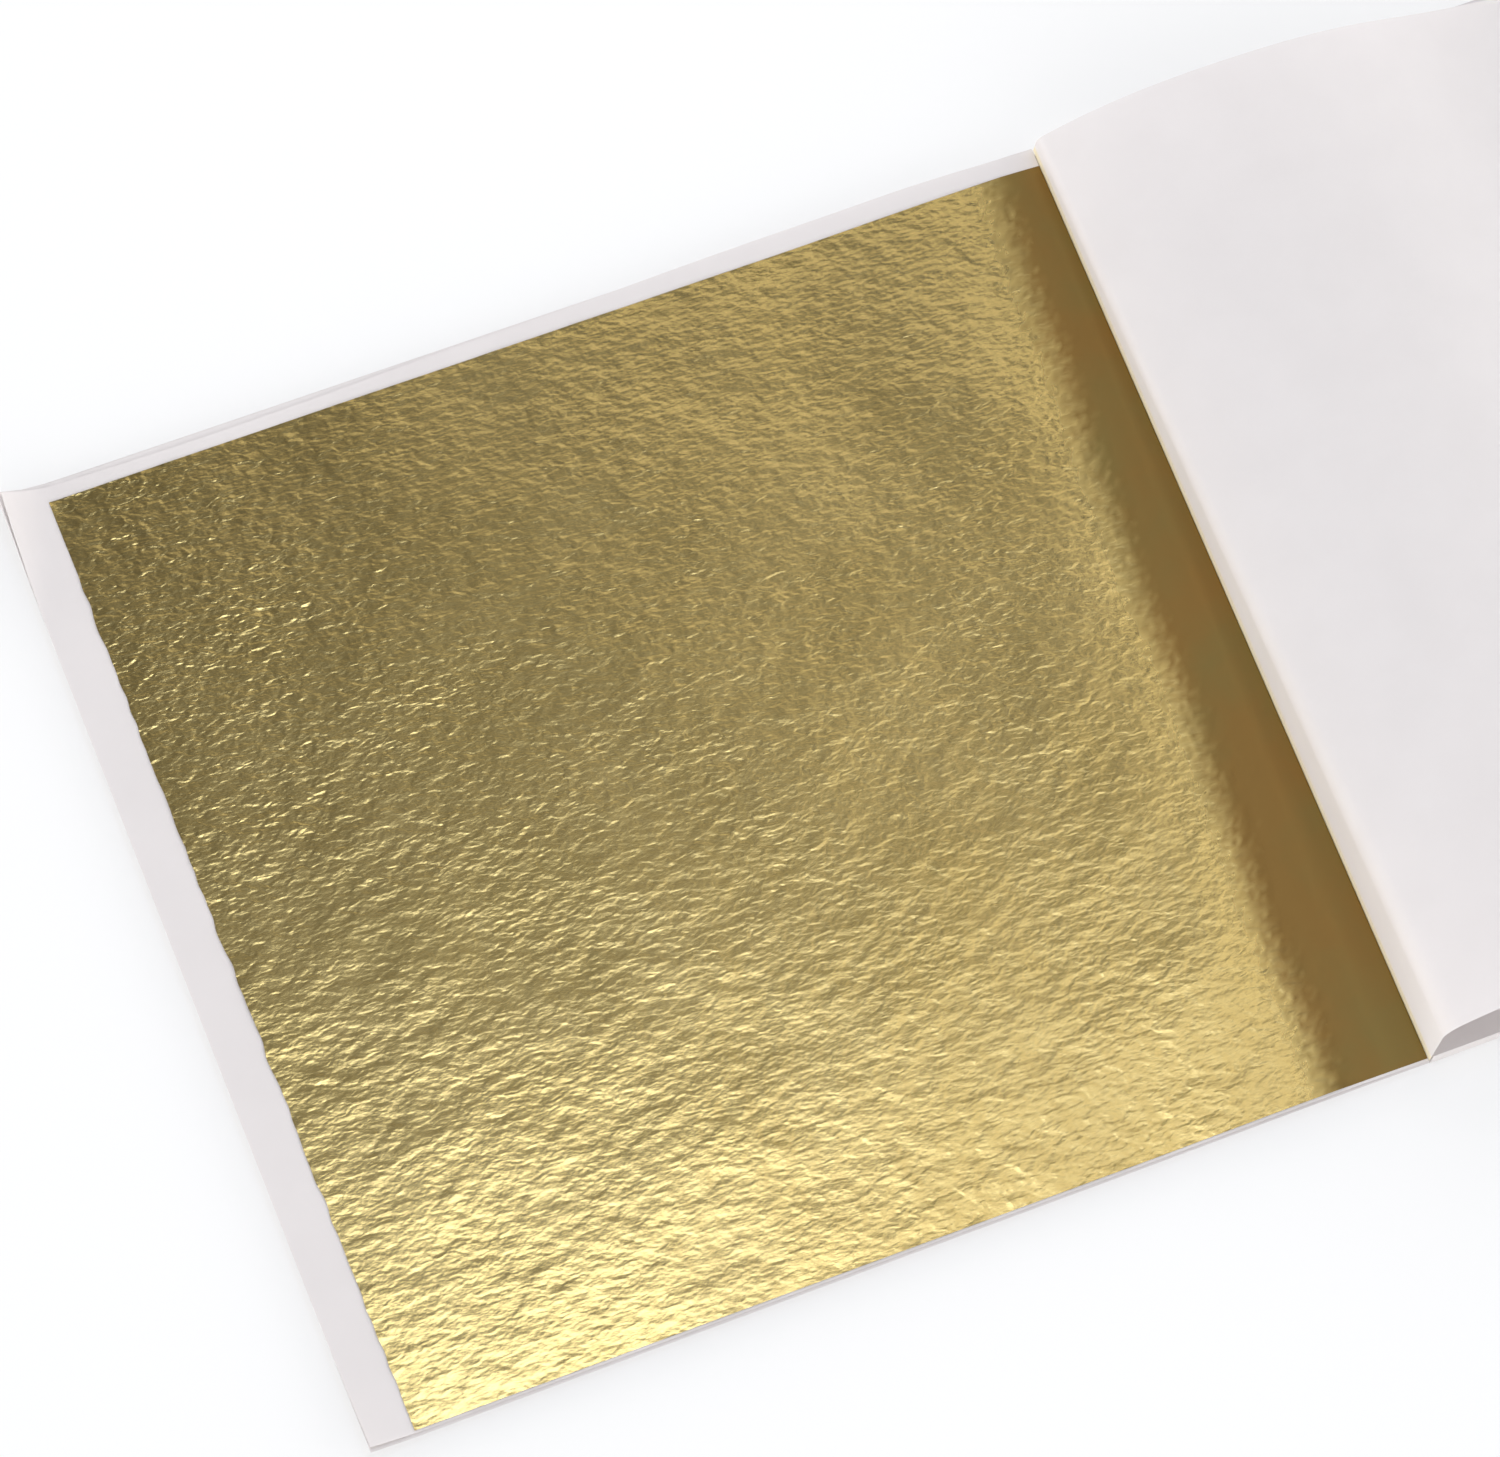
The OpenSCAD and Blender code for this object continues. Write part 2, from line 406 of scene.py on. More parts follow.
def foil_wrinkles():
    """Fine wrinkles of beaten foil: two layers of warped noise, a coarse and a fine one, stretched
    along the wrinkles, so that the foil slopes everywhere in short wandering ridges. A slow noise
    makes some places rougher than others. It puts out one height."""
    group = bpy.data.node_groups.new("foil wrinkles", "ShaderNodeTree")
    group_socket(group, "Size", "NodeSocketFloat", "INPUT", 1.0)
    group_socket(group, "Stretch", "NodeSocketFloat", "INPUT", 0.55)
    group_socket(group, "Height", "NodeSocketFloat", "OUTPUT")
    nodes, links = group.nodes, group.links
    given = nodes.new("NodeGroupInput")
    result = nodes.new("NodeGroupOutput")
    place = nodes.new("ShaderNodeTexCoord")
    turn = nodes.new("ShaderNodeMapping")
    turn.inputs["Rotation"].default_value = (0, 0, -WRINKLE_TURN)
    links.new(place.outputs["Object"], turn.inputs["Vector"])
    squeeze = nodes.new("ShaderNodeCombineXYZ")
    squeeze.inputs["Y"].default_value = 1
    squeeze.inputs["Z"].default_value = 1
    links.new(given.outputs["Stretch"], squeeze.inputs["X"])
    drawn = nodes.new("ShaderNodeVectorMath")
    drawn.operation = "MULTIPLY"
    links.new(turn.outputs["Vector"], drawn.inputs[0])
    links.new(squeeze.outputs["Vector"], drawn.inputs[1])
    sized = nodes.new("ShaderNodeVectorMath")
    sized.operation = "SCALE"
    links.new(drawn.outputs[0], sized.inputs[0])
    links.new(given.outputs["Size"], sized.inputs["Scale"])

    total = None
    # noise scale per metre, warp and height of each layer
    for scale, warp, height in ((1650, 0.3, 1.0), (3500, 0.2, 0.3)):
        noise = nodes.new("ShaderNodeTexNoise")
        noise.inputs["Scale"].default_value = scale
        noise.inputs["Detail"].default_value = 1
        noise.inputs["Roughness"].default_value = 0.5
        noise.inputs["Distortion"].default_value = warp
        links.new(sized.outputs[0], noise.inputs["Vector"])
        layer = nodes.new("ShaderNodeMath")
        layer.operation = "MULTIPLY"
        layer.inputs[1].default_value = height
        links.new(noise.outputs["Fac"], layer.inputs[0])
        if total is None:
            total = layer
            continue
        both = nodes.new("ShaderNodeMath")
        both.operation = "ADD"
        links.new(total.outputs[0], both.inputs[0])
        links.new(layer.outputs[0], both.inputs[1])
        total = both

    slow = nodes.new("ShaderNodeTexNoise")
    slow.inputs["Scale"].default_value = 110
    slow.inputs["Detail"].default_value = 2
    links.new(place.outputs["Object"], slow.inputs["Vector"])
    share = nodes.new("ShaderNodeMapRange")
    share.inputs["From Min"].default_value = 0.35
    share.inputs["From Max"].default_value = 0.65
    share.inputs["To Min"].default_value = 0.95
    share.inputs["To Max"].default_value = 1.15
    links.new(slow.outputs["Fac"], share.inputs["Value"])
    uneven = nodes.new("ShaderNodeMath")
    uneven.operation = "MULTIPLY"
    links.new(total.outputs[0], uneven.inputs[0])
    links.new(share.outputs["Result"], uneven.inputs[1])
    links.new(uneven.outputs[0], result.inputs["Height"])
    return group


WRINKLES = foil_wrinkles()


def gold_material(name, depth):
    """Imitation gold foil: a brass mirror, wrinkled, with cloudy patches where it is a little paler
    and duller. Two attributes of the mesh steer it: "crease" says how wrinkled each place is, and the
    other how bright and glossy. Along the spine the foil is smooth and rougher, and its colour there is
    a blotchy dark brown, painted dark reflection."""
    material = bpy.data.materials.new(name)
    material.use_nodes = True
    nodes, links = material.node_tree.nodes, material.node_tree.links
    surface = nodes["Principled BSDF"]
    surface.inputs["Metallic"].default_value = 1
    wrinkles = nodes.new("ShaderNodeGroup")
    wrinkles.node_tree = WRINKLES
    crease = nodes.new("ShaderNodeAttribute")
    crease.attribute_name = "crease"
    kept = nodes.new("ShaderNodeMath")
    kept.operation = "MULTIPLY"
    links.new(wrinkles.outputs["Height"], kept.inputs[0])
    links.new(crease.outputs["Fac"], kept.inputs[1])
    bump = nodes.new("ShaderNodeBump")
    bump.inputs["Strength"].default_value = 1
    bump.inputs["Distance"].default_value = depth
    links.new(kept.outputs[0], bump.inputs["Height"])
    links.new(bump.outputs["Normal"], surface.inputs["Normal"])

    place = nodes.new("ShaderNodeTexCoord")
    patches = nodes.new("ShaderNodeTexNoise")
    patches.inputs["Scale"].default_value = 90
    patches.inputs["Detail"].default_value = 6
    links.new(place.outputs["Object"], patches.inputs["Vector"])
    tone = nodes.new("ShaderNodeMix")
    tone.data_type = "RGBA"
    tone.inputs["A"].default_value = GOLD_COLOUR
    tone.inputs["B"].default_value = GOLD_PALE
    links.new(patches.outputs["Fac"], tone.inputs["Factor"])
    blotches = nodes.new("ShaderNodeMapRange")
    blotches.inputs["From Min"].default_value = 0.4
    blotches.inputs["From Max"].default_value = 0.6
    links.new(patches.outputs["Fac"], blotches.inputs["Value"])
    # The band's colour, painted dark reflection, in blotches of two browns
    painted_band_tone = nodes.new("ShaderNodeMix")
    painted_band_tone.data_type = "RGBA"
    painted_band_tone.inputs["A"].default_value = BAND_PAINTED_BROWN
    painted_band_tone.inputs["B"].default_value = BAND_PAINTED_OLIVE
    links.new(blotches.outputs["Result"], painted_band_tone.inputs["Factor"])
    unshaded_and_glossy = nodes.new("ShaderNodeAttribute")
    unshaded_and_glossy.attribute_name = "unshaded_and_glossy"
    band_and_gold = nodes.new("ShaderNodeMix")
    band_and_gold.data_type = "RGBA"
    links.new(unshaded_and_glossy.outputs["Fac"], band_and_gold.inputs["Factor"])
    links.new(painted_band_tone.outputs["Result"], band_and_gold.inputs["A"])
    links.new(tone.outputs["Result"], band_and_gold.inputs["B"])
    links.new(band_and_gold.outputs["Result"], surface.inputs["Base Color"])
    dull = nodes.new("ShaderNodeMapRange")
    dull.inputs["From Min"].default_value = 0.3
    dull.inputs["From Max"].default_value = 0.7
    dull.inputs["To Min"].default_value = 0.24
    dull.inputs["To Max"].default_value = 0.255
    links.new(patches.outputs["Fac"], dull.inputs["Value"])
    satin = nodes.new("ShaderNodeMapRange")
    satin.inputs["To Min"].default_value = 0.45
    links.new(unshaded_and_glossy.outputs["Fac"], satin.inputs["Value"])
    links.new(dull.outputs["Result"], satin.inputs["To Max"])
    links.new(satin.outputs["Result"], surface.inputs["Roughness"])
    return material


gold = gold_material("wrinkled gold foil", depth=0.040 * mm)

# The corners at the fore edge have curled up, the one at the head more, and each sheet down the block
# curls less.
HEAD_CURL = 2.5 * mm
TAIL_CURL = 0.8 * mm
CURL_REACH = 7.8 * mm
CURL_KEPT = 0.85
# How fast a curl's line cuts across the corner, along x and along y
CURL_SLANT = (1.5, 0.55)
page_low, page_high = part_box("tissue_02")


def corner_curl(x, y, corner, reach, height):
    """Height of a curled corner: the square of how far a place lies past a slanting line that cuts
    the corner off, as a share of that corner's reach."""
    from_corner = np.abs(x - corner[0]) * CURL_SLANT[0] + np.abs(y - corner[1]) * CURL_SLANT[1]
    past = reach - from_corner
    return height * (np.clip(past, 0, None) / reach) ** 2


def page_curl(x, y):
    """Height of the open page's two curled corners together."""
    at_head = corner_curl(x, y, (page_low.x, page_high.y), CURL_REACH, HEAD_CURL)
    return at_head + corner_curl(x, y, (page_low.x, page_low.y), CURL_REACH, TAIL_CURL)


def sheet_values(piece, name, values):
    """Stores a named value for each place of a closed sheet, the same on its two faces."""
    attribute = piece.data.attributes.new(name, "FLOAT", "POINT")
    attribute.data.foreach_set("value", np.tile(values.ravel(), 2).astype(np.float32))


def block_sheet(node, depth, inset=0.0):
    """One closed sheet where its node lies, a little out of line, with the ridge's form fading by its
    depth in the block. The inset shortens it at its tail."""
    low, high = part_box(node)
    x, y = grid_between(low, high, PAGE_STEP)
    y = y + inset * (high.y - y) / (high.y - low.y)
    twist, slip = stray.normal(0, 1, 2) * (PAGE_TWIST, PAGE_STRAY)
    slip += BLOCK_LEAN * (leaf_low.z - high.z)
    z = high.z + gutter_form(x, y) * RIDGE_KEPT ** depth + page_curl(x, y) * CURL_KEPT ** depth
    x = x * (1 - FORE_LEAN * (leaf_low.z - high.z) / (high.x - low.x))
    top = np.stack([x, y + slip + x * twist, z], axis=-1)
    return closed_sheet(node + "_sheet", top, high.z - low.z)


def press_flat(piece):
    """Gives the sheet a mesh of its own."""
    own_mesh(piece)


bodies = frame["record"]["behaviour"]["bodies"]
for number in range(PAGE_COUNT, 2, -1):
    body = sheet_number("page", number)
    page_node = sheet_number("tissue", number)
    depth = number - 2
    page = block_sheet(page_node, depth)
    dress(page, page_node, body, tissue)
    press_flat(page)
    leaf_node = sheet_number("leaf", number - 1)
    leaf = block_sheet(leaf_node, depth, TAIL_INSET)
    for value in ("crease", "unshaded_and_glossy"):
        sheet_values(leaf, value, np.ones(len(leaf.data.vertices) // 2))
    leaf_body = next(name for name, nodes in bodies.items() if leaf_node in nodes)
    dress(leaf, leaf_node, leaf_body, gold)
    press_flat(leaf)

# Open page
# The tissue that the open leaf lies on. It is bound at the crease, lies on the block with slow waves
# in it, and its two corners at the fore edge have curled up, the one at the head more.

PAGE_GRID = 0.8 * mm
WAVE_HEIGHT = 0.10 * mm
WAVE_FADE = 12 * mm
# The head edge strays in and out by these many millimetres. The drift starts this far from the tail.
EDGE_IN = 0.35
EDGE_OUT = 0.38
DRIFT_START = 50 * mm
# A corner that curls up also draws back over the page, by this share of its height along x and by
# this part of it along y.
CURL_PULL = 0.10
SIDE_PULL = 0.4


def page_wave(x, y):
    """Height of the open page over the block: the ridge, and two slow crossing waves, never below
    zero, that fade out at the crease."""
    slow = np.sin(x / (11 * mm) + 0.7) * np.cos(y / (14 * mm) + x / (31 * mm))
    slower = np.sin(x / (23 * mm) - y / (19 * mm) + 1.9)
    wave = 0.5 + 0.28 * slow + 0.22 * slower
    return WAVE_HEIGHT * wave * smooth_step(-x, 0, WAVE_FADE) + gutter_form(x, y)


def edge_drift(x):
    """How far the page's head edge strays from a straight line: in near the fore edge, out near the
    crease."""
    share = (x - page_low.x) / (page_high.x - page_low.x)
    inwards = EDGE_IN * np.sin(math.pi * np.clip(share / 0.42, 0, 1))
    outwards = EDGE_OUT * smooth_step(share, 0.45, 0.75) * (1 - 0.8 * smooth_step(share, 0.86, 1))
    return (outwards - inwards) * mm


x, y = grid_between(page_low, page_high, PAGE_GRID)
head_share = smooth_step(y, page_low.y + DRIFT_START, page_high.y)
page_y = y + edge_drift(x) * head_share
page_z = page_high.z + page_wave(x, y)
curl = page_curl(x, y)
page_x = x + CURL_PULL * curl
page_y -= CURL_PULL * SIDE_PULL * curl * np.sign(y)
open_page_top = np.stack([page_x, page_y, page_z + curl], axis=-1)
open_page = closed_sheet("open_page", open_page_top, page_high.z - page_low.z)
dress(open_page, "tissue_02", "page_02", tissue)
press_flat(open_page)

# Open leaf
# A loose leaf of imitation gold foil on the open page. Beating and packing have wrinkled it all over
# in short ridges, but along the crease, where the spine pressed it, it is a smooth band that widens
# towards the tail. Its fore edge is a little ragged.

LEAF_GRID = 0.42 * mm
FOIL_THICKNESS = 0.004 * mm
# The fore edge strays by this much, in waves of this length, over this width. It is straight in its
# two corners.
RAGGED = 0.055 * mm
RAGGED_WAVE = 3.4 * mm
RAGGED_REACH = 2 * mm
HEAD_CORNER = (1 * mm, 9 * mm)
TAIL_CORNER = (0, 6 * mm)
# The border of the smooth band wanders by this much, in waves of this length. The border of the
# band's painted dark colour wanders more, in shorter waves.
BORDER_WANDER = 0.2 * mm
BORDER_WAVE = 1.7 * mm
SHADE_EDGE_WANDER = 0.35 * mm
SHADE_EDGE_WAVE = 0.9 * mm
# Where wrinkles and the bright gold beside the painted dark band begin and are full, past the ridge
WRINKLE_BORDER = (-2.4 * mm, -0.4 * mm)
SHADE_EDGE = (-1.5 * mm, 2.2 * mm)
# Shares of the wrinkles' depth and of the foil's relief that are left in the smooth band
BAND_CREASE = 0.12
BAND_RELIEF = 0.1
# The wrinkles are deepest where they begin and towards the fore edge, above all at the head. At the
# tail they are calmer. The two sides are the spans, towards head and tail, over which each grows.
BEGIN_MORE = 0.9
BEGIN_PLACE = 0.2 * mm
BEGIN_WIDTH = 1.9 * mm
FORE_MORE = 0.65
FORE_REACH = 34 * mm
FORE_RISE = 30 * mm
HEAD_SIDE = (-5 * mm, 30 * mm)
TAIL_LESS = 0.26
TAIL_SIDE = (-14 * mm, 16 * mm)


def foil_relief(x, y):
    """Height of the foil over its page: a sum of random waves, from broad and low ones to short
    ones stretched across the booklet, raised so that the lowest place touches the page."""
    layers = (
        # wavelength and height in millimetres, stretch and seed of each layer
        (14.0, 0.014, 1.2, 3),
        (6.0, 0.005, 1.4, 5),
        (2.6, 0.004, 1.7, 7),
        (1.4, 0.005, 1.8, 9),
    )
    total = np.zeros_like(x)
    for wavelength, height, stretch, seed in layers:
        waves = band_noise(x.shape, LEAF_GRID, wavelength * mm, stretch, WRINKLE_TURN, seed=seed)
        total += height * mm * waves
    return total - total.min()


x, y = grid_between(leaf_low, leaf_high, LEAF_GRID)
to_crease = leaf_high.x - x
border = band_noise(x.shape, LEAF_GRID, BORDER_WAVE, seed=31) * BORDER_WANDER
past_ridge = to_crease - ridge_place(y) + border
wrinkled = smooth_step(past_ridge, *WRINKLE_BORDER)
# Past this border the colour is gold; before it the band's colour is painted dark reflection.
shade_edge_noise = SHADE_EDGE_WANDER * band_noise(x.shape, LEAF_GRID, SHADE_EDGE_WAVE, seed=33)
unshaded_and_glossy = smooth_step(past_ridge + shade_edge_noise, *SHADE_EDGE)
begin = BEGIN_MORE * np.exp(-((past_ridge - BEGIN_PLACE) / BEGIN_WIDTH) ** 2)
to_fore = FORE_MORE * smooth_step(leaf_low.x + FORE_REACH - x, 0, FORE_RISE) * smooth_step(y, *HEAD_SIDE)
tail_calm = TAIL_LESS * smooth_step(-y, *TAIL_SIDE)
creased = (BAND_CREASE + (1 - BAND_CREASE) * wrinkled) * (1 + begin + to_fore) * (1 - tail_calm)
ragged = band_noise(x.shape, LEAF_GRID, RAGGED_WAVE, width=0.7, seed=21)[:, :1] * RAGGED
near_edge = 1 - smooth_step(x - leaf_low.x, 0, RAGGED_REACH)
near_edge *= smooth_step(leaf_high.y - y, *HEAD_CORNER) * smooth_step(y - leaf_low.y, *TAIL_CORNER)
relief = foil_relief(x, y) * (BAND_RELIEF + (1 - BAND_RELIEF) * wrinkled)
leaf_z = leaf_high.z + page_wave(x, y) + page_curl(x, y) + relief
leaf_top = np.stack([x + ragged * near_edge, y, leaf_z], axis=-1)
open_leaf = closed_sheet("open_leaf_foil", leaf_top, FOIL_THICKNESS)
sheet_values(open_leaf, "crease", creased)
sheet_values(open_leaf, "unshaded_and_glossy", unshaded_and_glossy)
dress(open_leaf, "leaf_01", "open_leaf", gold)
press_flat(open_leaf)

# Front cover
# The same card as the back cover, folded back over the stapled margin. It lies flat on the margin,
# rounds its edge and slopes down to the table.

COVER_GRID = 1.6 * mm
# The cover bends down this far past the margin.
FOLD_PAST_MARGIN = 0.3 * mm

cover_low, cover_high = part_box("front_cover")
_, margin_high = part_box("bound_margin")
cover_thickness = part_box("back_cover")[1].z
fold_x = margin_high.x + FOLD_PAST_MARGIN
droop = math.asin((cover_high.z - cover_thickness) / (cover_high.x - fold_x))


def cover_height(x):
    """Height of the cover's upper face: level over the margin, then down at the droop's slope, with
    the corner between the two rounded over 2 mm each way."""
    past = x - fold_x
    rounding = 2 * mm
    inside = np.clip(past + rounding, 0, 2 * rounding)
    lowered = np.where(past > rounding, past, inside ** 2 / (4 * rounding))
    return cover_high.z - lowered * math.tan(droop)


x, y = grid_between(cover_low, cover_high, COVER_GRID)
cover_top = np.stack([x, y, cover_height(x)], axis=-1)
cover = closed_sheet("folded_cover", cover_top, cover_thickness)
dress(cover, "front_cover", "cover_flap", card)

# Turned tissue
# The first page, turned back. It stands up at the crease, bends over and falls in an arch onto the
# cover. At the tail it stands higher than at the head, so its arch is part of a cone.

ARCH_ROWS = 103
# Points along each row, in each of its stretches
RISE_POINTS = 9
BEND_POINTS = 15
CURVE_POINTS = 30
LYING_POINTS = 27
# From tail to head the sizes change by this part as an even S, and otherwise in a straight line.
S_PART = 0.35
CREASE_X = -0.11 * mm
START_Z = 1.5 * mm
ARCH_END_X = 46 * mm
LYING_GAP = 0.05 * mm
# Each size of the arch at the tail and at the head
BEND_HEIGHT = (8.2 * mm, 2.7 * mm)
BEND_RADIUS = (2.3 * mm, 1.1 * mm)
BEND_SLOPE = (26, 31)
PEAK_X = (11 * mm, 14.5 * mm)
PEAK_HEIGHT = (10.2 * mm, 6.1 * mm)
# The far end lies askew: it strays by this much, from one x to another.
SKEW = -1.2 * mm
SKEW_SPAN = (26 * mm, 60 * mm)
# A warm cream colour: the gold leaf's reflection, painted onto the tissue's foot.
GOLD_REFLECTION_COLOUR = (0.86, 0.74, 0.50, 1)
# The painted reflection of the gold is full up to the first height over the leaf and ends at the second.
REFLECTION_FULL = 0.6 * mm
REFLECTION_END = 1.2 * mm

tissue_low, tissue_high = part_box("tissue_01")
leaf_face = leaf_high.z
page_length = page_high.x - page_low.x


def tail_to_head(ends, share):
    """A size between its value at the tail and at the head, as a column."""
    return (ends[0] + (ends[1] - ends[0]) * share)[:, None]


def cubic(a, b, c, d, t):
    """A cubic curve from a to d, drawn towards b and c."""
    return (1 - t) ** 3 * a + 3 * t * (1 - t) ** 2 * b + 3 * t * t * (1 - t) * c + t ** 3 * d


def arch_grid(rows):
    """X and Z of the turned tissue, from the crease to its far edge: a straight rise, part of a
    circle, a curve up to the peak, a curve down to the cover, and a straight run along the cover up
    to the page's length. Each row has sizes of its own, from tail to head."""
    share = np.linspace(0, 1, rows)
    share = share * share * (3 - 2 * share) * S_PART + share * (1 - S_PART)
    row_sizes = (BEND_HEIGHT, BEND_RADIUS, BEND_SLOPE, PEAK_X, PEAK_HEIGHT)
    bend_h, radius, slope_deg, peak_x, peak_h = (tail_to_head(ends, share) for ends in row_sizes)
    slope = np.radians(slope_deg)
    bend_z = leaf_face + bend_h - radius * np.cos(slope)

    t = np.linspace(0, 1, RISE_POINTS + 1)[None, :-1] ** 2
    rise_x = np.full((rows, RISE_POINTS), CREASE_X)
    rise_z = START_Z + (bend_z - START_Z) * t
    turn = (math.pi / 2 - slope) * np.linspace(0, 1, BEND_POINTS)[None, :]
    bend_x = CREASE_X + radius * (1 - np.cos(turn))
    bend_top = bend_z + radius * np.sin(turn)

    t = np.linspace(0, 1, CURVE_POINTS + 1)[None, 1:]
    from_x, from_z = bend_x[:, -1:], bend_top[:, -1:]
    peak_z = leaf_face + peak_h
    third = (peak_x - from_x) / 3
    up_x = cubic(from_x, from_x + third, peak_x - third, peak_x, t)
    up_z = cubic(from_z, from_z + third * np.tan(slope), peak_z, peak_z, t)
    land_z = cover_height(np.array([ARCH_END_X]))[0] + LYING_GAP
    half = (ARCH_END_X - peak_x) / 2
    down_x = cubic(peak_x, peak_x + half, ARCH_END_X - half, ARCH_END_X, t)
    down_z = cubic(peak_z, peak_z, land_z + half * math.tan(droop), land_z, t)

    path_x = np.concatenate([rise_x, bend_x, up_x, down_x], axis=1)
    path_z = np.concatenate([rise_z, bend_top, up_z, down_z], axis=1)
    length = np.hypot(np.diff(path_x), np.diff(path_z)).sum(axis=1)[:, None]
    rest = np.clip(page_length - length, 0, None)
    run = rest * np.linspace(0, 1, LYING_POINTS + 1)[None, 1:]
    lie_x = ARCH_END_X + run * math.cos(droop)
    lie_z = land_z - run * math.sin(droop)
    return np.concatenate([path_x, lie_x], axis=1), np.concatenate([path_z, lie_z], axis=1)


arch_x, arch_z = arch_grid(ARCH_ROWS)
row_y = np.linspace(tissue_low.y, tissue_high.y, ARCH_ROWS)[:, None]
arch_y = row_y + SKEW * smooth_step(arch_x, *SKEW_SPAN)
arch_top = np.stack([arch_x, arch_y, arch_z], axis=-1)
turned = closed_sheet("turned_page", arch_top, page_high.z - page_low.z)
# A thread of warm cream at its foot is painted reflection of the gold leaf.
painted_reflection = (1 - smooth_step(arch_z, leaf_face + REFLECTION_FULL, leaf_face + REFLECTION_END)) * (arch_x < 0)
sheet_values(turned, "painted_tint", painted_reflection)
reflecting_tissue = paper_material(
    "thin tissue with painted gold reflection", PAPER_COLOUR, glow=0.5, painted_tint=GOLD_REFLECTION_COLOUR, **TISSUE_FINISH
)
dress(turned, "tissue_01", "turned_tissue", reflecting_tissue)
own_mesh(turned)

# Floor, light and camera
# The booklet lies on plain white paper. Three soft lamps stand over it, in a pale surround that is
# brighter towards the horizon. The camera looks down at it from over its fore edge and tail.

FLOOR_SIZE = 4.0
FLOOR_COLOUR = (0.9, 0.9, 0.9, 1)
# The share of plain white in the floor as it is seen. The rest is the lit surface, which brings in
# the booklet's shadow. The lit floor is at about 0.92, so this strength brings the open floor to white.
FLOOR_WHITE = 0.5
WHITE_STRENGTH = 1.08


def floor_material():
    """White to the camera and in reflections, and matt paper to every other ray. A share of the lit
    surface is mixed into what is seen, so that the floor keeps the booklet's shadow."""
    material = bpy.data.materials.new("studio floor")
    material.use_nodes = True
    nodes, links = material.node_tree.nodes, material.node_tree.links
    nodes.clear()
    rays = nodes.new("ShaderNodeLightPath")
    seen = nodes.new("ShaderNodeMath")
    seen.operation = "ADD"
    seen.use_clamp = True
    links.new(rays.outputs["Is Camera Ray"], seen.inputs[0])
    links.new(rays.outputs["Is Glossy Ray"], seen.inputs[1])
    also = nodes.new("ShaderNodeMath")
    also.operation = "ADD"
    also.use_clamp = True
    links.new(seen.outputs[0], also.inputs[0])
    links.new(rays.outputs["Is Transmission Ray"], also.inputs[1])
    matt = nodes.new("ShaderNodeBsdfDiffuse")
    matt.inputs["Color"].default_value = FLOOR_COLOUR
    white = nodes.new("ShaderNodeEmission")
    white.inputs["Color"].default_value = (1, 1, 1, 1)
    white.inputs["Strength"].default_value = WHITE_STRENGTH
    share = nodes.new("ShaderNodeMath")
    share.operation = "MULTIPLY"
    share.inputs[1].default_value = FLOOR_WHITE
    links.new(also.outputs[0], share.inputs[0])
    both = nodes.new("ShaderNodeMixShader")
    links.new(share.outputs[0], both.inputs["Fac"])
    links.new(matt.outputs[0], both.inputs[1])
    links.new(white.outputs[0], both.inputs[2])
    result = nodes.new("ShaderNodeOutputMaterial")
    links.new(both.outputs[0], result.inputs["Surface"])
    return material


ripple_x, ripple_y = np.meshgrid(np.linspace(-1, 1, 9), np.linspace(-1, 1, 9))
floor_top = np.stack([ripple_x, ripple_y, np.zeros_like(ripple_x)], axis=-1) * FLOOR_SIZE / 2
floor = closed_sheet("floor", floor_top, 2 * mm)
floor.data.materials.append(floor_material())

OVERHEAD = 0.03
HORIZON = 2.15


def pale_surround():
    """A tent of light: dim overhead, and brighter towards the horizon with the cube of the sine
    of the angle from straight up."""
    world = bpy.data.worlds.new("pale surround")
    world.use_nodes = True
    nodes, links = world.node_tree.nodes, world.node_tree.links
    toward = nodes.new("ShaderNodeTexCoord")
    parts = nodes.new("ShaderNodeSeparateXYZ")
    links.new(toward.outputs["Generated"], parts.inputs[0])
    up_squared = nodes.new("ShaderNodeMath")
    up_squared.operation = "MULTIPLY"
    links.new(parts.outputs["Z"], up_squared.inputs[0])
    links.new(parts.outputs["Z"], up_squared.inputs[1])
    sine_squared = nodes.new("ShaderNodeMath")
    sine_squared.operation = "SUBTRACT"
    sine_squared.inputs[0].default_value = 1
    links.new(up_squared.outputs[0], sine_squared.inputs[1])
    strength = nodes.new("ShaderNodeMath")
    strength.operation = "MULTIPLY_ADD"
    strength.inputs[1].default_value = HORIZON - OVERHEAD
    strength.inputs[2].default_value = OVERHEAD
    cube = nodes.new("ShaderNodeMath")
    cube.operation = "POWER"
    cube.inputs[1].default_value = 1.5
    links.new(sine_squared.outputs[0], cube.inputs[0])
    links.new(cube.outputs[0], strength.inputs[0])
    nodes["Background"].inputs["Color"].default_value = (1, 1, 1, 1)
    links.new(strength.outputs[0], nodes["Background"].inputs["Strength"])
    return world


bpy.context.scene.world = pale_surround()


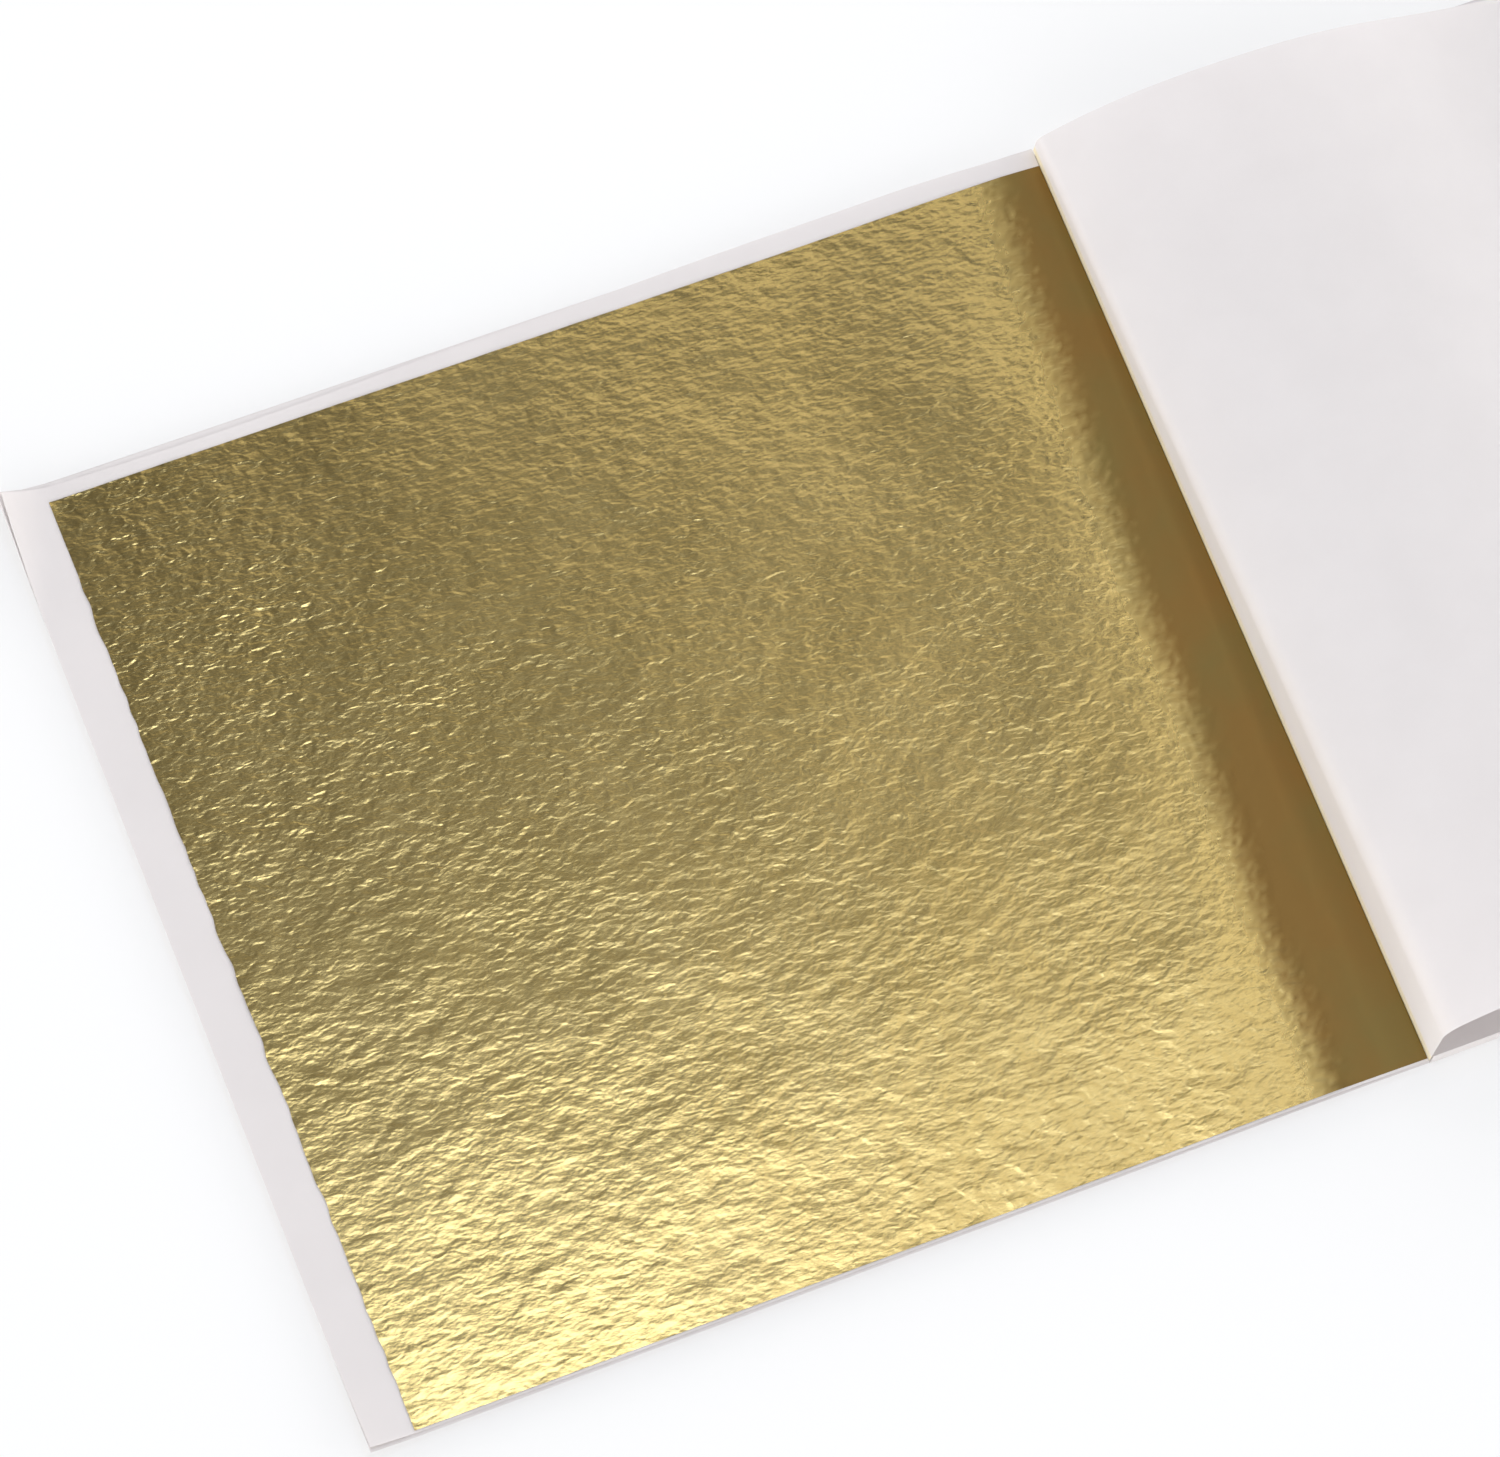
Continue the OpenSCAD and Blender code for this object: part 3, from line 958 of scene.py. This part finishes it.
def soft_lamp(name, place, target, width, height, radiance, colour):
    """A flat rectangular lamp at a place, facing a target. Its power is its radiance times its area
    times pi."""
    data = bpy.data.lights.new(name, "AREA")
    data.shape = "RECTANGLE"
    data.size = width
    data.size_y = height
    data.energy = radiance * width * height * math.pi
    data.color = colour
    lamp = bpy.data.objects.new(name, data)
    lamp.location = place
    lamp.rotation_euler = (Vector(target) - Vector(place)).to_track_quat("-Z", "Y").to_euler()
    lamp.visible_camera = False
    bpy.context.scene.collection.objects.link(lamp)


# One soft lamp over the leaf, and two fainter ones that show in the foil beside the gutter and
# towards the head.
PLAIN_WHITE = (0.98, 1.0, 1.02)
COOL_WHITE = (0.92, 1.04, 1.32)
LEAF_MIDDLE = (-0.04, 0, 0)
lamps = (
    # name, place, width, height, radiance and colour
    ("key softbox", (-0.020, 0.000, 0.42), 0.100, 0.092, 6.4, COOL_WHITE),
    ("side strip", (0.115, 0.052, 0.42), 0.054, 0.155, 2.4, PLAIN_WHITE),
    ("head strip", (0.118, 0.184, 0.42), 0.251, 0.040, 2.2, PLAIN_WHITE),
)
for name, place, width, height, radiance, colour in lamps:
    soft_lamp(name, place, LEAF_MIDDLE, width, height, radiance, colour)

CAMERA_PLACE = Vector((-168.6, -167.2, 613.4)) * mm
CAMERA_FORWARD = Vector((0.1984, 0.2626, -0.9443))
CAMERA_UP = Vector((0.3261, 0.8909, 0.3162))
FOCAL_PIXELS = 8237
PHOTO_WIDTH = 1500

camera_data = bpy.data.cameras.new("camera")
camera_data.sensor_fit = "HORIZONTAL"
camera_data.sensor_width = 36
camera_data.lens = FOCAL_PIXELS * camera_data.sensor_width / PHOTO_WIDTH
camera_data.clip_start = 0.01
camera_data.clip_end = 20
camera = bpy.data.objects.new("camera", camera_data)
back = -CAMERA_FORWARD.normalized()
right = CAMERA_UP.cross(back).normalized()
turn = Matrix((right, back.cross(right), back)).transposed()
camera.matrix_world = Matrix.Translation(CAMERA_PLACE) @ turn.to_4x4()
bpy.context.scene.collection.objects.link(camera)
bpy.context.scene.camera = camera
bpy.context.scene.view_settings.view_transform = "Standard"
